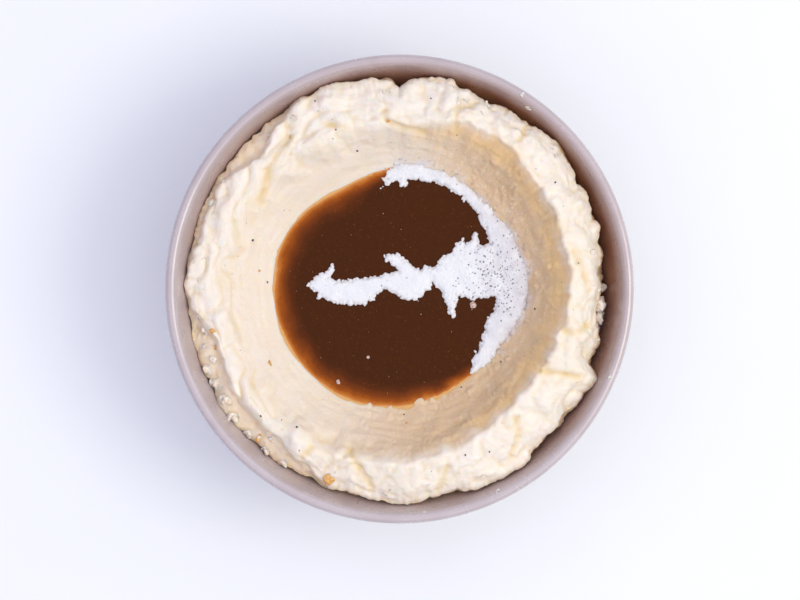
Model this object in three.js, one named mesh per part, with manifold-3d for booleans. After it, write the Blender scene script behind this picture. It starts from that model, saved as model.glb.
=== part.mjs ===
// A side of mashed potato in its small glazed bowl: the mash is spooned into a
// ring with a hollow, the hollow holds a pool of gravy, and a streak of frothed
// cream lies on the gravy. Millimetres, +Z up, origin on the table under the
// middle of the bowl.
import * as THREE from 'three';
import { mergeVertices } from 'three/addons/utils/BufferGeometryUtils.js';
import Module from 'manifold-3d';

const wasm = await Module();
wasm.setup();

// Bowl
const RIM_DIAMETER = 140;
const BOWL_HEIGHT = 54;
const RIM_THICKNESS = 3.4;
const FLOOR_THICKNESS = 5;
const WALL_STEEPNESS = 5; // power of the radius that the wall's height follows
const FOOT_OUTER_RADIUS = 36;
const FOOT_INNER_RADIUS = 31.5;
const FOOT_RECESS = 3;
const FOOT_CHAMFER = 0.8;
const FOOT_FLARE = 2.8; // width over which the foot ring runs out into the wall

// Clearances between neighbouring pieces
const GAP = 0.3;
const WALL_GAP = 0.5;

// Gravy and cream
const POOL_LEVEL = 41;
const POOL_DEPTH = 6;
const GRAVY_REACH = 0.985; // share of the hollow's edge radius that the gravy fills
const CREAM_THICKNESS = 1.3;

// The mash goes round the bowl unevenly. Each list holds one value every 30
// degrees, counterclockwise from +X: the gravy's shore, the crest of the ring
// and its height, the height of the ring's outer edge, and how the hollow's
// wall and the outer slope bend, as powers of the way along them.
const SHORE_RADIUS = [39.9, 39.9, 41.2, 39.2, 34.9, 37.8, 38.2, 37.4, 36.9, 35.4, 33.4, 36.8];
const CREST_RADIUS = [51.8, 51, 53.5, 51, 50.5, 53, 55, 54.5, 53, 52, 49.6, 48.8];
const CREST_HEIGHT = [56, 56, 55.5, 54.5, 53, 51.5, 51, 51, 52, 54, 55, 56];
const EDGE_HEIGHT = [49, 49, 49.5, 49, 48, 46.5, 46, 45, 45.5, 48, 49, 49];
const HOLLOW_CURVE = [1.5, 1.5, 1.4, 1.3, 1.1, 1, 1, 1, 1.1, 1.3, 1.4, 1.5];
const SLOPE_CURVE = [2.4, 2.4, 2.4, 2.2, 2, 1.7, 1.6, 1.3, 1.4, 2, 2.4, 2.4];

// The ring's outer edge: its mean radius and the lobes and nicks along it,
// each with its direction in degrees, its half width in degrees and its reach.
const EDGE_RADIUS = 62.8;
const LOBES = [
  { at: 2, width: 16, reach: -1.4 },
  { at: 42, width: 6, reach: 1.2 },
  { at: 65, width: 5, reach: -1.2 },
  { at: 79, width: 6, reach: 1.8 },
  { at: 90, width: 4, reach: -2.6 },
  { at: 113, width: 14, reach: 1.7 },
  { at: 150, width: 6, reach: -0.4 },
  { at: 178, width: 12, reach: 1.6 },
  { at: 215, width: 8, reach: 1.8 },
  { at: 241, width: 8, reach: -0.6 },
  { at: 269, width: 7, reach: 1.6 },
  { at: 296, width: 9, reach: 1.7 },
  { at: 334, width: 4, reach: 2.2 },
  { at: 348, width: 7, reach: -1.6 },
];
const LUMP_HEIGHT = 0.9;

// The cream streak, as strokes: x, y and half width at each point that bends
// or swells it. The arc is the same in polar form: degrees, radius, half width.
const CREAM_ARC = [
  [98, 33.6, 0.5], [92, 35.4, 2.2], [85, 35.7, 3.1], [68, 35.9, 3.3], [54, 35.8, 3.7],
  [38, 35.6, 3.7], [24, 34.9, 4.1], [8, 34.6, 4.4], [352, 34, 4.6], [342, 32.3, 4],
  [333, 31.8, 3.2], [324, 32.3, 2.8], [317, 33, 2.1], [311, 33.2, 0.5],
];
const CREAM_STROKES = [
  [[-27.3, 1, 0.4], [-24, 1.6, 2.9], [-20, -0.4, 3.5], [-13, -0.9, 4], [-8.5, 0.9, 3.2],
    [-5, 2.1, 2], [-1, 2.2, 3.4], [3.5, 1.4, 4.9], [7.5, 3.3, 3.3], [9.8, 4.6, 2.3],
    [13, 3.9, 3.6], [17, 4.4, 6.4], [22, 5.2, 8], [27, 5.4, 8.2], [32, 4.6, 7]],
  [[-23.5, 3, 2], [-21.2, 5.4, 1.2], [-20, 7.4, 0.4]],
  [[-23.6, 0, 1.8], [-24.5, -2.7, 0.6]],
  [[2.6, 4.4, 3], [0.6, 7.4, 2.2], [-2, 9.2, 1.9], [-3.9, 9.4, 0.8]],
  [[15, 0, 3], [15.7, -4.4, 1.6], [16.4, -7.8, 0.7]],
  [[21, 11, 3], [22.8, 14.8, 1.3], [23.4, 16.9, 0.4]],
  [[18, 9, 3], [18.6, 13, 1.4], [19, 15, 0.5]],
];

// Divisions of the round surfaces
const BOWL_SECTORS = 56;
const WALL_STEPS = 12;
const WALL_SPACING = 0.75; // power that crowds the wall's steps towards the lip
const LIP_STEPS = 6; // from the widest point round to the inner face
const MASH_SECTORS = 88;
const STROKE_STEPS = 2; // between two points of a cream stroke

const radians = THREE.MathUtils.degToRad;

// Smooth closed interpolation of a list of values spaced evenly round the axis.
function around(values, degrees) {
  const n = values.length;
  const place = (((degrees / 360) * n) % n + n) % n;
  const i = Math.floor(place);
  const t = place - i;
  const [a, b, c, d] = [-1, 0, 1, 2].map((k) => values[(i + k + n) % n]);
  return b + 0.5 * t * (c - a + t * (2 * a - 5 * b + 4 * c - d + t * (3 * (b - c) + d - a)));
}

// Point of the bowl wall at a share of its middle line's radius, moved along
// the wall's normal: side -1 is the outer face, 1 the inner one.
const LIP_RADIUS = RIM_THICKNESS / 2;
const LIP_CENTRE = new THREE.Vector2(RIM_DIAMETER / 2 - LIP_RADIUS, BOWL_HEIGHT - LIP_RADIUS);
const FLOOR_MIDDLE = FOOT_RECESS + FLOOR_THICKNESS / 2;

function wallPoint(share, side, clearance = 0) {
  const rise = LIP_CENTRE.y - FLOOR_MIDDLE;
  const slope = (rise * WALL_STEEPNESS * share ** (WALL_STEEPNESS - 1)) / LIP_CENTRE.x;
  const normal = new THREE.Vector2(-slope, 1).normalize();
  const thickness = THREE.MathUtils.lerp(FLOOR_THICKNESS, RIM_THICKNESS, share);
  return new THREE.Vector2(LIP_CENTRE.x * share, FLOOR_MIDDLE + rise * share ** WALL_STEEPNESS)
    .addScaledVector(normal, side * (thickness / 2) + clearance);
}

function wallCurve(side, from, clearance = 0) {
  const points = [];
  for (let i = 0; i <= WALL_STEPS; i++) {
    const even = THREE.MathUtils.lerp(from ** (1 / WALL_SPACING), 1, i / WALL_STEPS);
    const share = even ** WALL_SPACING;
    points.push(wallPoint(share, side, clearance));
  }
  return points;
}

// Height of the space inside the bowl at a radius, a clearance off the wall.
const CONTENTS_CURVE = wallCurve(1, 0, WALL_GAP);

function contentsFloor(radius) {
  const i = Math.max(1, CONTENTS_CURVE.findIndex((p) => p.x >= radius));
  const [a, b] = [CONTENTS_CURVE[i - 1], CONTENTS_CURVE[i]];
  return THREE.MathUtils.mapLinear(Math.max(radius, a.x), a.x, b.x, a.y, b.y);
}

function contentsRadius(height) {
  const i = CONTENTS_CURVE.findIndex((p) => p.y >= height);
  const [a, b] = [CONTENTS_CURVE[i - 1], CONTENTS_CURVE[i]];
  return THREE.MathUtils.mapLinear(height, a.y, b.y, a.x, b.x);
}

// Closed solid whose profile, from the axis on top round to the axis below, is
// given for each direction, all with the same number of points.
function sweptSolid(profileAt, sectors) {
  const rings = [];
  for (let s = 0; s < sectors; s++) rings.push(profileAt((360 * s) / sectors));
  const inner = rings[0].length - 2;
  const positions = [0, 0, rings[0][0].y, 0, 0, rings[0][inner + 1].y];
  rings.forEach((profile, s) => {
    const angle = (2 * Math.PI * s) / sectors;
    for (const p of profile.slice(1, -1)) {
      positions.push(p.x * Math.cos(angle), p.x * Math.sin(angle), p.y);
    }
  });
  const vertex = (s, k) => 2 + (s % sectors) * inner + k;
  const index = [];
  for (let s = 0; s < sectors; s++) {
    index.push(0, vertex(s, 0), vertex(s + 1, 0));
    for (let k = 0; k < inner - 1; k++) {
      index.push(vertex(s, k), vertex(s, k + 1), vertex(s + 1, k + 1));
      index.push(vertex(s, k), vertex(s + 1, k + 1), vertex(s + 1, k));
    }
    index.push(1, vertex(s + 1, inner - 1), vertex(s, inner - 1));
  }
  const geometry = new THREE.BufferGeometry();
  geometry.setAttribute('position', new THREE.Float32BufferAttribute(positions, 3));
  geometry.setIndex(index);
  geometry.computeVertexNormals();
  return geometry;
}

// Bowl: foot ring, flared wall and rounded lip, turned about the axis.
function bowlGeometry() {
  const foot = [
    [0, FOOT_RECESS],
    [FOOT_INNER_RADIUS - FOOT_RECESS / 2, FOOT_RECESS],
    [FOOT_INNER_RADIUS, FOOT_CHAMFER],
    [FOOT_INNER_RADIUS + FOOT_CHAMFER, 0],
    [FOOT_OUTER_RADIUS - FOOT_CHAMFER, 0],
    [FOOT_OUTER_RADIUS, FOOT_CHAMFER],
    [FOOT_OUTER_RADIUS + FOOT_FLARE / 4, FOOT_RECESS + FOOT_CHAMFER],
  ].map(([r, z]) => new THREE.Vector2(r, z));
  const outside = wallCurve(-1, (FOOT_OUTER_RADIUS + FOOT_FLARE) / LIP_CENTRE.x);
  const inside = wallCurve(1, 0).reverse();
  const innerAngle = inside[0].clone().sub(LIP_CENTRE).angle();
  const lip = [];
  for (let i = 0; i < LIP_STEPS; i++) {
    const angle = (innerAngle * i) / LIP_STEPS;
    const offset = new THREE.Vector2(Math.cos(angle), Math.sin(angle));
    lip.push(LIP_CENTRE.clone().addScaledVector(offset, LIP_RADIUS));
  }
  const floor = new THREE.Vector2(0, FLOOR_MIDDLE + FLOOR_THICKNESS / 2);
  const profile = [...foot, ...outside, ...lip, ...inside.slice(0, -1), floor];
  return new THREE.LatheGeometry(profile, BOWL_SECTORS).rotateX(Math.PI / 2);
}

// Radius of the ring's outer edge, with its lobes and nicks.
function edgeRadius(degrees) {
  return LOBES.reduce((radius, lobe) => {
    const away = THREE.MathUtils.euclideanModulo(degrees - lobe.at + 180, 360) - 180;
    return radius + lobe.reach * Math.exp(-((away / lobe.width) ** 2));
  }, EDGE_RADIUS);
}

// Unevenness of the spooned surface, from three waves that don't line up.
function lumps(degrees, radius) {
  const a = radians(degrees);
  return (
    Math.sin(9 * a + 0.31 * radius) * 0.5 +
    Math.sin(17 * a - 0.47 * radius + 1.3) * 0.3 +
    Math.sin(5 * a + 0.83 * radius + 2.1) * 0.4
  );
}

function poolFloor(share) {
  return POOL_LEVEL - POOL_DEPTH * (1 - share * share);
}

// One section of the mash: hollow under the gravy, hollow's wall, crest, outer
// slope, and the underside along the bowl.
function mashProfile(degrees) {
  const shore = around(SHORE_RADIUS, degrees);
  const crest = around(CREST_RADIUS, degrees);
  const top = around(CREST_HEIGHT, degrees);
  const low = around(EDGE_HEIGHT, degrees);
  const edge = Math.min(edgeRadius(degrees), contentsRadius(low));
  const hollowCurve = around(HOLLOW_CURVE, degrees);
  const slopeCurve = around(SLOPE_CURVE, degrees);
  const profile = [0, 0.35, 0.62, 0.82, 0.94].map(
    (share) => new THREE.Vector2(shore * share, poolFloor(share) - GAP));
  for (const t of [0, 0.22, 0.45, 0.66, 0.85]) {
    const height = POOL_LEVEL - GAP + (top - POOL_LEVEL + GAP) * t ** hollowCurve;
    profile.push(new THREE.Vector2(THREE.MathUtils.lerp(shore, crest, t), height));
  }
  for (const t of [0, 0.2, 0.42, 0.66, 0.86]) {
    const radius = THREE.MathUtils.lerp(crest, edge, t);
    const height = THREE.MathUtils.lerp(top, low, t ** slopeCurve);
    profile.push(new THREE.Vector2(radius, height + LUMP_HEIGHT * lumps(degrees, radius)));
  }
  profile.push(new THREE.Vector2(edge, low));
  for (const share of [0.99, 0.95, 0.9, 0.83, 0.74, 0.6, 0.4, 0.2, 0]) {
    profile.push(new THREE.Vector2(edge * share, contentsFloor(edge * share)));
  }
  return profile;
}

// One section of the gravy: a flat top and a shallow round belly.
function gravyProfile(degrees) {
  const reach = around(SHORE_RADIUS, degrees) * GRAVY_REACH;
  const top = [0, 0.6, 1].map((share) => new THREE.Vector2(reach * share, POOL_LEVEL));
  const belly = [1, 0.88, 0.68, 0.38, 0].map(
    (share) => new THREE.Vector2(reach * share, poolFloor(share * GRAVY_REACH)));
  return [...top, ...belly];
}

// A flat stroke through points of x, y and half width.
function strokeGeometry(points) {
  const curve = new THREE.CatmullRomCurve3(points.map((p) => new THREE.Vector3(...p)));
  const path = curve.getPoints((points.length - 1) * STROKE_STEPS);
  const left = [];
  const right = [];
  path.forEach((p, i) => {
    const along = path[Math.min(i + 1, path.length - 1)].clone().sub(path[Math.max(i - 1, 0)]);
    const across = new THREE.Vector2(-along.y, along.x).normalize();
    left.push(new THREE.Vector2(p.x, p.y).addScaledVector(across, p.z));
    right.push(new THREE.Vector2(p.x, p.y).addScaledVector(across, -p.z));
  });
  const outline = new THREE.Shape([...right, ...left.reverse()]);
  return new THREE.ExtrudeGeometry(outline, { depth: CREAM_THICKNESS, bevelEnabled: false });
}

function toSolid(geometry) {
  geometry.deleteAttribute('normal');
  geometry.deleteAttribute('uv');
  const merged = mergeVertices(geometry, 1e-4);
  const vertProperties = merged.attributes.position.array;
  const triVerts = new Uint32Array(merged.index.array);
  return new wasm.Manifold(new wasm.Mesh({ numProp: 3, vertProperties, triVerts }));
}

function toGeometry(solid) {
  const { vertProperties, triVerts } = solid.getMesh();
  const geometry = new THREE.BufferGeometry();
  geometry.setAttribute('position', new THREE.BufferAttribute(vertProperties, 3));
  geometry.setIndex(new THREE.BufferAttribute(triVerts, 1));
  geometry.computeVertexNormals();
  return geometry;
}

// Cream: the arc along the shore and the strokes that cross the pool, in one.
function creamGeometry() {
  const arc = CREAM_ARC.map(([degrees, radius, halfWidth]) => [
    radius * Math.cos(radians(degrees)),
    radius * Math.sin(radians(degrees)),
    halfWidth,
  ]);
  const solid = [arc, ...CREAM_STROKES]
    .map((points) => toSolid(strokeGeometry(points)))
    .reduce((joined, stroke) => joined.add(stroke));
  return toGeometry(solid);
}

const GLAZE = new THREE.MeshStandardMaterial({ color: 0xb9a5a8, roughness: 0.35, metalness: 0 });
const MASH = new THREE.MeshStandardMaterial({ color: 0xf0e2c8, roughness: 0.6, metalness: 0 });
const GRAVY = new THREE.MeshStandardMaterial({ color: 0x4e2c18, roughness: 0.2, metalness: 0 });
const CREAM = new THREE.MeshStandardMaterial({ color: 0xf1f1f4, roughness: 0.45, metalness: 0 });

function named(name, geometry, material) {
  const mesh = new THREE.Mesh(geometry, material);
  mesh.name = name;
  return mesh;
}

const part = new THREE.Group();
const cream = named('cream', creamGeometry(), CREAM);
cream.position.z = POOL_LEVEL + GAP;
part.add(named('bowl', bowlGeometry(), GLAZE));
part.add(named('mashed_potato', sweptSolid(mashProfile, MASH_SECTORS), MASH));
part.add(named('gravy', sweptSolid(gravyProfile, MASH_SECTORS), GRAVY));
part.add(cream);

export default part;
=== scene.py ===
"""Looks of a side of mashed potato: the glazed bowl, the spooned mash, the gravy
and the frothed cream on it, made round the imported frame. Metres, +Z up."""
import math

import bpy
import numpy as np
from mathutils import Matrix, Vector, noise
from mathutils.bvhtree import BVHTree


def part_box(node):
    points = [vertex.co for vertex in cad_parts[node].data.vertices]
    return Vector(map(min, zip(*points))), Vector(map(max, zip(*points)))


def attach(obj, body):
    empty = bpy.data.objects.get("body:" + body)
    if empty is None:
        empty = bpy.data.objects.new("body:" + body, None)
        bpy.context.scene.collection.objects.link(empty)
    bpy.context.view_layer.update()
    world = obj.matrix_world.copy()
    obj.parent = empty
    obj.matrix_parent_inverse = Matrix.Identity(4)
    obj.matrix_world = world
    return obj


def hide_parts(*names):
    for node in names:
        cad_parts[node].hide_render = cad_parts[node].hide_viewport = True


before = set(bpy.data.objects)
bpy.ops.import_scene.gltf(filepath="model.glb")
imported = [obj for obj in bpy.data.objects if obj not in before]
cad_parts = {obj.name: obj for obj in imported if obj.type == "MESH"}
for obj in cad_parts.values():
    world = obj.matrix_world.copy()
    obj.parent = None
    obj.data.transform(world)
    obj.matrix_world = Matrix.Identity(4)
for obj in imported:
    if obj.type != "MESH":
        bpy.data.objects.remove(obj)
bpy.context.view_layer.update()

bl_info = {
    "name": "Mashed potato side",
    "version": (1, 0, 0),
    "blender": (4, 5, 0),
    "location": "View3D > Sidebar > Potato",
    "description": "Makes the bowl, the mash, its gravy and the cream round the packed frame",
    "category": "Object",
}

BODY = "root"
MM = 0.001
SEED = 11

# Levels and widths that the frame gives
RIM_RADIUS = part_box("bowl")[1].x
RIM_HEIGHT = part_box("bowl")[1].z
CREST_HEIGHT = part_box("mashed_potato")[1].z
POOL_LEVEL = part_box("gravy")[1].z
POOL_DEPTH = POOL_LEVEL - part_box("gravy")[0].z
CREAM_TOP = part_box("cream")[1].z

# Bowl's section
RIM_THICKNESS = 3.4 * MM
FLOOR_THICKNESS = 5 * MM
WALL_STEEPNESS = 5
FOOT_OUTER = 36 * MM
FOOT_INNER = 31.5 * MM
FOOT_RECESS = 3 * MM
LIP = RIM_THICKNESS / 2
LIP_CENTRE = np.array([RIM_RADIUS - LIP, RIM_HEIGHT - LIP])
FLOOR_MIDDLE = FOOT_RECESS + FLOOR_THICKNESS / 2

# The ring of mash, one value every 30 degrees counterclockwise from +X, in
# millimetres: the gravy's shore, the crest and how far it lies under the
# highest point, the outer edge's depth under the rim, how ragged the crest's
# line is and how widely it is rounded. The two powers bend the hollow's wall
# and the outer slope.
SHORE = [37.4, 36.2, 36.6, 36.8, 34.9, 37.8, 38.2, 37.4, 36.9, 35.4, 33.8, 34.6]
CREST = [50.8, 51.4, 53.2, 49.2, 50.0, 53.0, 54.5, 54.0, 53.0, 51.8, 49.0, 48.0]
CREST_DROP = [0.6, 0.6, 1.0, 2.8, 4.0, 5.0, 5.5, 5.5, 4.6, 2.6, 1.6, 0.8]
EDGE_DROP = [5.5, 5.0, 4.5, 4.5, 5.0, 5.8, 6.2, 6.4, 6.4, 5.6, 5.0, 5.5]
HOLLOW_POWER = [1.5, 1.5, 1.4, 1.2, 1.1, 1.0, 1.0, 1.0, 1.1, 1.3, 1.4, 1.5]
SLOPE_POWER = [2.6, 2.6, 2.6, 2.4, 2.0, 1.8, 1.6, 1.3, 1.4, 2.0, 2.4, 2.6]
CREST_RAGGED = [1.0, 1.2, 1.0, 0.8, 0.6, 0.3, 0.3, 0.3, 0.3, 0.2, 0.4, 1.0]
CREST_ROUNDING = [2.4, 2.4, 2.4, 2.8, 3.2, 4.0, 4.0, 3.6, 2.6, 2.4, 3.0, 2.6]

# Every 30 degrees: how moist the hollow's wall is, from 0 to 1, which is also painted shade where
# the wall turns away from the light, and where the ring is folded, which is nowhere under -0.25
# and fully over 0.15.
MOISTURE_AND_SHADE = [1.0, 0.95, 0.8, 0.06, 0.06, 0.05, 0.06, 0.08, 0.15, 0.7, 0.9, 0.95]
FOLDED = [-0.6, -0.7, -0.6, -0.2, 0.1, 0.22, 0.25, 0.3, 0.22, -0.2, -0.7, -0.6]

# Where the mound ends on a lower ledge along the wall, every 15 degrees: the
# mound's own edge in millimetres, or past the wall where there is no ledge.
MOUND_EDGE = [
    67, 67, 67, 67, 67, 67, 67, 67, 62.5, 57.8, 61.4, 61,
    65, 56.5, 58, 57.8, 59.4, 64, 67, 67, 67, 67, 67, 67,
]
LEDGE_DROP = 2.4 * MM

# How far in from its edge the gravy is still see-through, every 30 degrees.
GRAVY_MARGIN = [2.0, 2.0, 2.0, 3.5, 7.5, 8.0, 7.5, 7.0, 7.5, 7.0, 4.0, 2.5]

# The outer edge, with its lobes and nicks: direction and half width in degrees,
# reach in millimetres.
EDGE_RADIUS = 62.8 * MM
LOBES = [
    (2, 16, -2.2), (42, 6, 1.2), (65, 5, -1.2), (79, 6, 1.8), (90, 2.0, -3.0), (113, 14, 1.7),
    (140, 12, 1.0), (158, 8, 1.0), (178, 10, 1.7), (196, 7, 1.2), (215, 9, 2.0), (236, 6, 0.8),
    (269, 7, 1.6), (296, 9, 1.7), (334, 3, 2.6), (341, 4, -1.2), (352, 6, -1.8),
]

# Creases pressed into the mash: points of direction and radius, half width and
# depth in millimetres.
CREASES = [
    ([(126, 56), (136, 53.5), (147, 49)], 0.9, 1.1),
    ([(95, 53), (93, 49.6), (81, 47.3)], 0.8, 0.9),
    ([(113, 53.6), (109, 51)], 0.7, 0.8),
    ([(52, 61), (51, 57)], 0.7, 0.9),
    ([(346, 50.5), (346, 54), (349, 57)], 0.8, 1.0),
    ([(330, 48.5), (332, 54), (334, 59.5)], 0.8, 1.3),
    ([(253, 50.5), (257, 55), (262, 60)], 0.9, 1.2),
    ([(241, 54), (240, 58)], 0.8, 0.8),
    ([(12, 53), (6, 55), (0, 56)], 0.7, 0.7),
    ([(312, 52), (309, 56), (304, 60)], 0.8, 0.8),
    ([(285, 55), (281, 61)], 0.8, 0.7),
    ([(70, 50), (72, 56), (68, 60)], 0.8, 0.7),
]

# The cream streak: the arc as direction, radius and half width, and strokes of
# x, y and half width, in degrees and millimetres.
CREAM_ARC = [
    (98, 33.6, 0.4), (92, 35.4, 1.9), (85, 35.9, 2.6), (76, 36.1, 2.5), (68, 36.0, 2.2),
    (60, 35.8, 2.1), (54, 35.5, 2.1), (44, 35.0, 2.2), (38, 34.6, 2.6), (31, 34.3, 3.3),
    (24, 34.4, 3.9), (8, 34.6, 4.4), (352, 34, 4.6), (342, 32.3, 4),
    (333, 31.8, 3.2), (324, 32.3, 2.8), (317, 33, 2.1), (311, 33.2, 0.4),
]
CREAM_STROKES = [
    [(-27.3, 1, 0.4), (-24, 1.6, 2.9), (-20, -0.4, 3.5), (-13, -0.9, 4), (-8.5, 0.9, 3.2),
     (-5, 2.1, 2), (-1, 2.2, 3.4), (3.5, 1.4, 4.9), (7.5, 3.3, 3.3), (9.8, 4.6, 2.3),
     (13, 3.9, 3.6), (17, 4.4, 6.4), (22, 5.2, 8), (27, 5.4, 8.2), (32, 4.6, 7)],
    [(-23.5, 3, 2), (-21.2, 5.4, 1.2), (-20, 7.4, 0.3)],
    [(-23.6, 0, 1.8), (-24.5, -2.7, 0.5)],
    [(2.6, 4.4, 3), (0.6, 7.4, 2.2), (-2, 9.2, 1.9), (-3.9, 9.4, 0.8)],
    [(15, 0, 3), (15.7, -4.4, 1.6), (16.4, -7.8, 0.6)],
    [(21, 11, 3), (22.8, 14.8, 1.3), (23.4, 16.9, 0.3)],
    [(18, 9, 3), (18.6, 13, 1.4), (19, 15, 0.4)],
    [(0, 35, 2), (-3.4, 32.6, 0.9), (-5.4, 30.8, 0.2)],
    [(1, 34, 1.6), (1.2, 31.6, 0.9)],
]

# Open bubbles, in millimetres: the share that lies in the bubbly part, that
# part's middle and spread, and the corners of the whole streak.
BUBBLY_SHARE = 0.78
BUBBLY_SPREAD = ((28.5, 3.5), (5.5, 6.5))
STREAK_REACH = ((-26, -24), (38, 38))

# Small things, in millimetres: x, y and size across. Those in the gap are
# direction, radius, height and size.
PEPPER = [
    (-44.2, 14.7, 0.9), (-12.7, 41.6, 0.8), (-19, 47.6, 0.7), (-19.9, 44.9, 0.5),
    (-40, 2.1, 0.7), (-25.3, 56.3, 0.7), (9.4, 56.9, 0.7), (46.3, 31.7, 0.8),
    (17.2, 46.1, 0.6), (19.6, -49.4, 0.8), (26.8, -48.5, 0.7), (18.7, -29.7, 0.6),
    (40.9, -6, 0.8), (30.7, -21.9, 0.8), (1.3, -38, 0.6), (-30.7, -41.3, 0.8),
    (-41.5, -38, 0.9), (-35.3, -39.2, 0.4), (53.3, 7.7, 0.6), (48.6, 24.6, 0.4),
]
FLECKS = [
    (-56.2, -12.6, 1.3), (-39.1, -22.2, 1.3), (-34.9, -41.6, 1.0), (-42.4, -44.6, 2.3),
    (-21.1, -56.9, 2.6), (-32.8, 45.2, 1.3), (-3.4, 50.3, 1.2), (-42.4, 5.7, 1.2),
    (-55.4, -17.5, 1.5), (2.1, -40.4, 1.0),
]
LIP_CRUMBS = [
    (38.8, 53.9, 1.3), (37.0, 57.5, 0.9), (28.9, -60.5, 1.3), (62.8, -26.6, 1.6),
    (7.3, -66.2, 1.4),
]
GAP_CRUMBS = [
    (-4.4, 60.3, 45.0, 3.8), (-8.2, 60.4, 44.0, 4.4), (-11.6, 59.6, 43.0, 3.8),
    (0.6, 60.8, 42.8, 2.6), (-14.5, 59.8, 42.2, 3.6), (-18, 60.2, 41.6, 3.2),
    (-40, 62.2, 41.6, 3.0), (84, 61.2, 42.2, 2.8),
]
LEDGE_CRUMBS = [
    (-56.5, -21, 1.8), (-58.9, -17.3, 1.2), (-53.8, -37.0, 2.4), (-58.5, -12.5, 2.2),
    (-55.8, -28.5, 3.0), (-50.0, -38.4, 3.4), (-45.4, -43.8, 2.8), (-57.6, -24.6, 2.4),
    (-52.6, -33.4, 3.2), (-40.2, -48.6, 2.8), (-34.6, -52.6, 2.4), (-60.4, -8.4, 2.0),
]
GRAVY_BITS = [(-18.6, -28.2, 1.1), (-9.5, -20.6, 0.9), (22.3, -4.8, 1.6), (6.5, -7.6, 0.4)]
PEPPER_SHARE = 0.75
BITS_AFLOAT = 60
CRUMBS_FALLEN = 46

# Fineness of the turned meshes, in points round the axis, and the room between
# the mash and the bowl
BOWL_SECTORS = 288
MASH_SECTORS = 900
GRAVY_SECTORS = 480
WALL_ROOM = 0.15 * MM
TURN = 2 * math.pi

# Directions in degrees: the middle of the froth's arc, the side where a warm glow is painted in
# the shade under the crest and the side where painted shade and a painted brown reflection of the
# mash lie on the bowl's wall
FROTH_MIDDLE = 62
GLOW_SIDE = 18
SHADED_WALL_SIDE = 42

# Where dropped things start from
DROP_HEIGHT = 0.2

# The window-like light, the room round it and the camera
WINDOW_AZIMUTH = math.radians(-8)
WINDOW_ELEVATION = math.radians(54)
TO_WINDOW = (
    math.cos(WINDOW_AZIMUTH) * math.cos(WINDOW_ELEVATION),
    math.sin(WINDOW_AZIMUTH) * math.cos(WINDOW_ELEVATION),
    math.sin(WINDOW_ELEVATION),
)
KEY_TINT = (1.0, 0.975, 0.72)
KEY_SIZE = 0.5
KEY_DISTANCE = 1.1
ROOM_TINT = (0.82, 0.81, 0.99, 1)
WINDOW_TINT = (1.0, 1.0, 0.95, 1)
FLOOR_HALF = 3.0
SENSOR_WIDTH = 36
VIEW_WIDTH = 238.4 * MM
VIEW_CENTRE = (0.15 * MM, -3.28 * MM)


def srgb(red, green, blue):
    """Scene colour of a display colour given from 0 to 255."""
    shares = [c / 255 for c in (red, green, blue)]
    return tuple(s / 12.92 if s <= 0.04045 else ((s + 0.055) / 1.055) ** 2.4 for s in shares)


# Shades that join the settings' colours
CREAMY_TONE = srgb(231, 220, 198)
MOIST_BLOTCH = srgb(202, 166, 140)
# painted warm glow under the crest
PAINTED_GLOW = srgb(252, 214, 150)
FROTH_FRINGE = srgb(224, 220, 222)
GRAVY_SHADES = [
    (0.06, srgb(188, 112, 44)), (0.2, srgb(150, 76, 20)), (0.42, srgb(116, 56, 16)),
    (0.7, srgb(84, 40, 12)),
]
GRAVY_SPECK = srgb(58, 30, 16)
SHADED_LOOSE_FROTH = srgb(196, 190, 196)
THIN_FROTH = srgb(200, 186, 180)
PEPPER_LIGHT = srgb(92, 74, 52)
FLECK_LIGHT = srgb(228, 186, 118)
BIT_SHADES = (srgb(216, 198, 188), srgb(170, 136, 112))
BUBBLE_SHADES = (srgb(226, 214, 212), srgb(188, 174, 172))
CRUMB_SHADE = srgb(226, 206, 184)


# ---------------------------------------------------------------- settings


def colour_choice(name, description, default):
    return bpy.props.FloatVectorProperty(
        name=name, description=description, subtype="COLOR", default=default, min=0, max=1)


def length_choice(name, description, millimetres, most, least=0):
    return bpy.props.FloatProperty(
        name=name, description=description, unit="LENGTH", precision=5,
        default=millimetres * MM, min=least * MM, max=most * MM)


def number_choice(name, description, default, most, least=0, unit="NONE"):
    return bpy.props.FloatProperty(
        name=name, description=description, unit=unit, default=default, min=least, max=most)


def count_choice(name, description, default, most):
    return bpy.props.IntProperty(
        name=name, description=description, default=default, min=0, max=most)


class BowlSettings(bpy.types.PropertyGroup):
    """Sizes and colours of the bowl."""

    glaze: colour_choice("Glaze", "Main colour of the glaze", srgb(197, 186, 186))
    glaze_dark: colour_choice(
        "Thin glaze", "Colour where the glaze runs thin", srgb(172, 156, 156))
    # the potato film colour is painted shade and a painted brown reflection of the mash on the
    # inner wall
    film: colour_choice(
        "Potato film", "Colour of the film the mash left on the wall", srgb(138, 78, 32))
    clay: colour_choice("Bare clay", "Colour of the unglazed foot", srgb(196, 178, 156))
    wobble: length_choice("Wobble", "How far the rim strays from a true circle", 0.12, 1)


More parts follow.
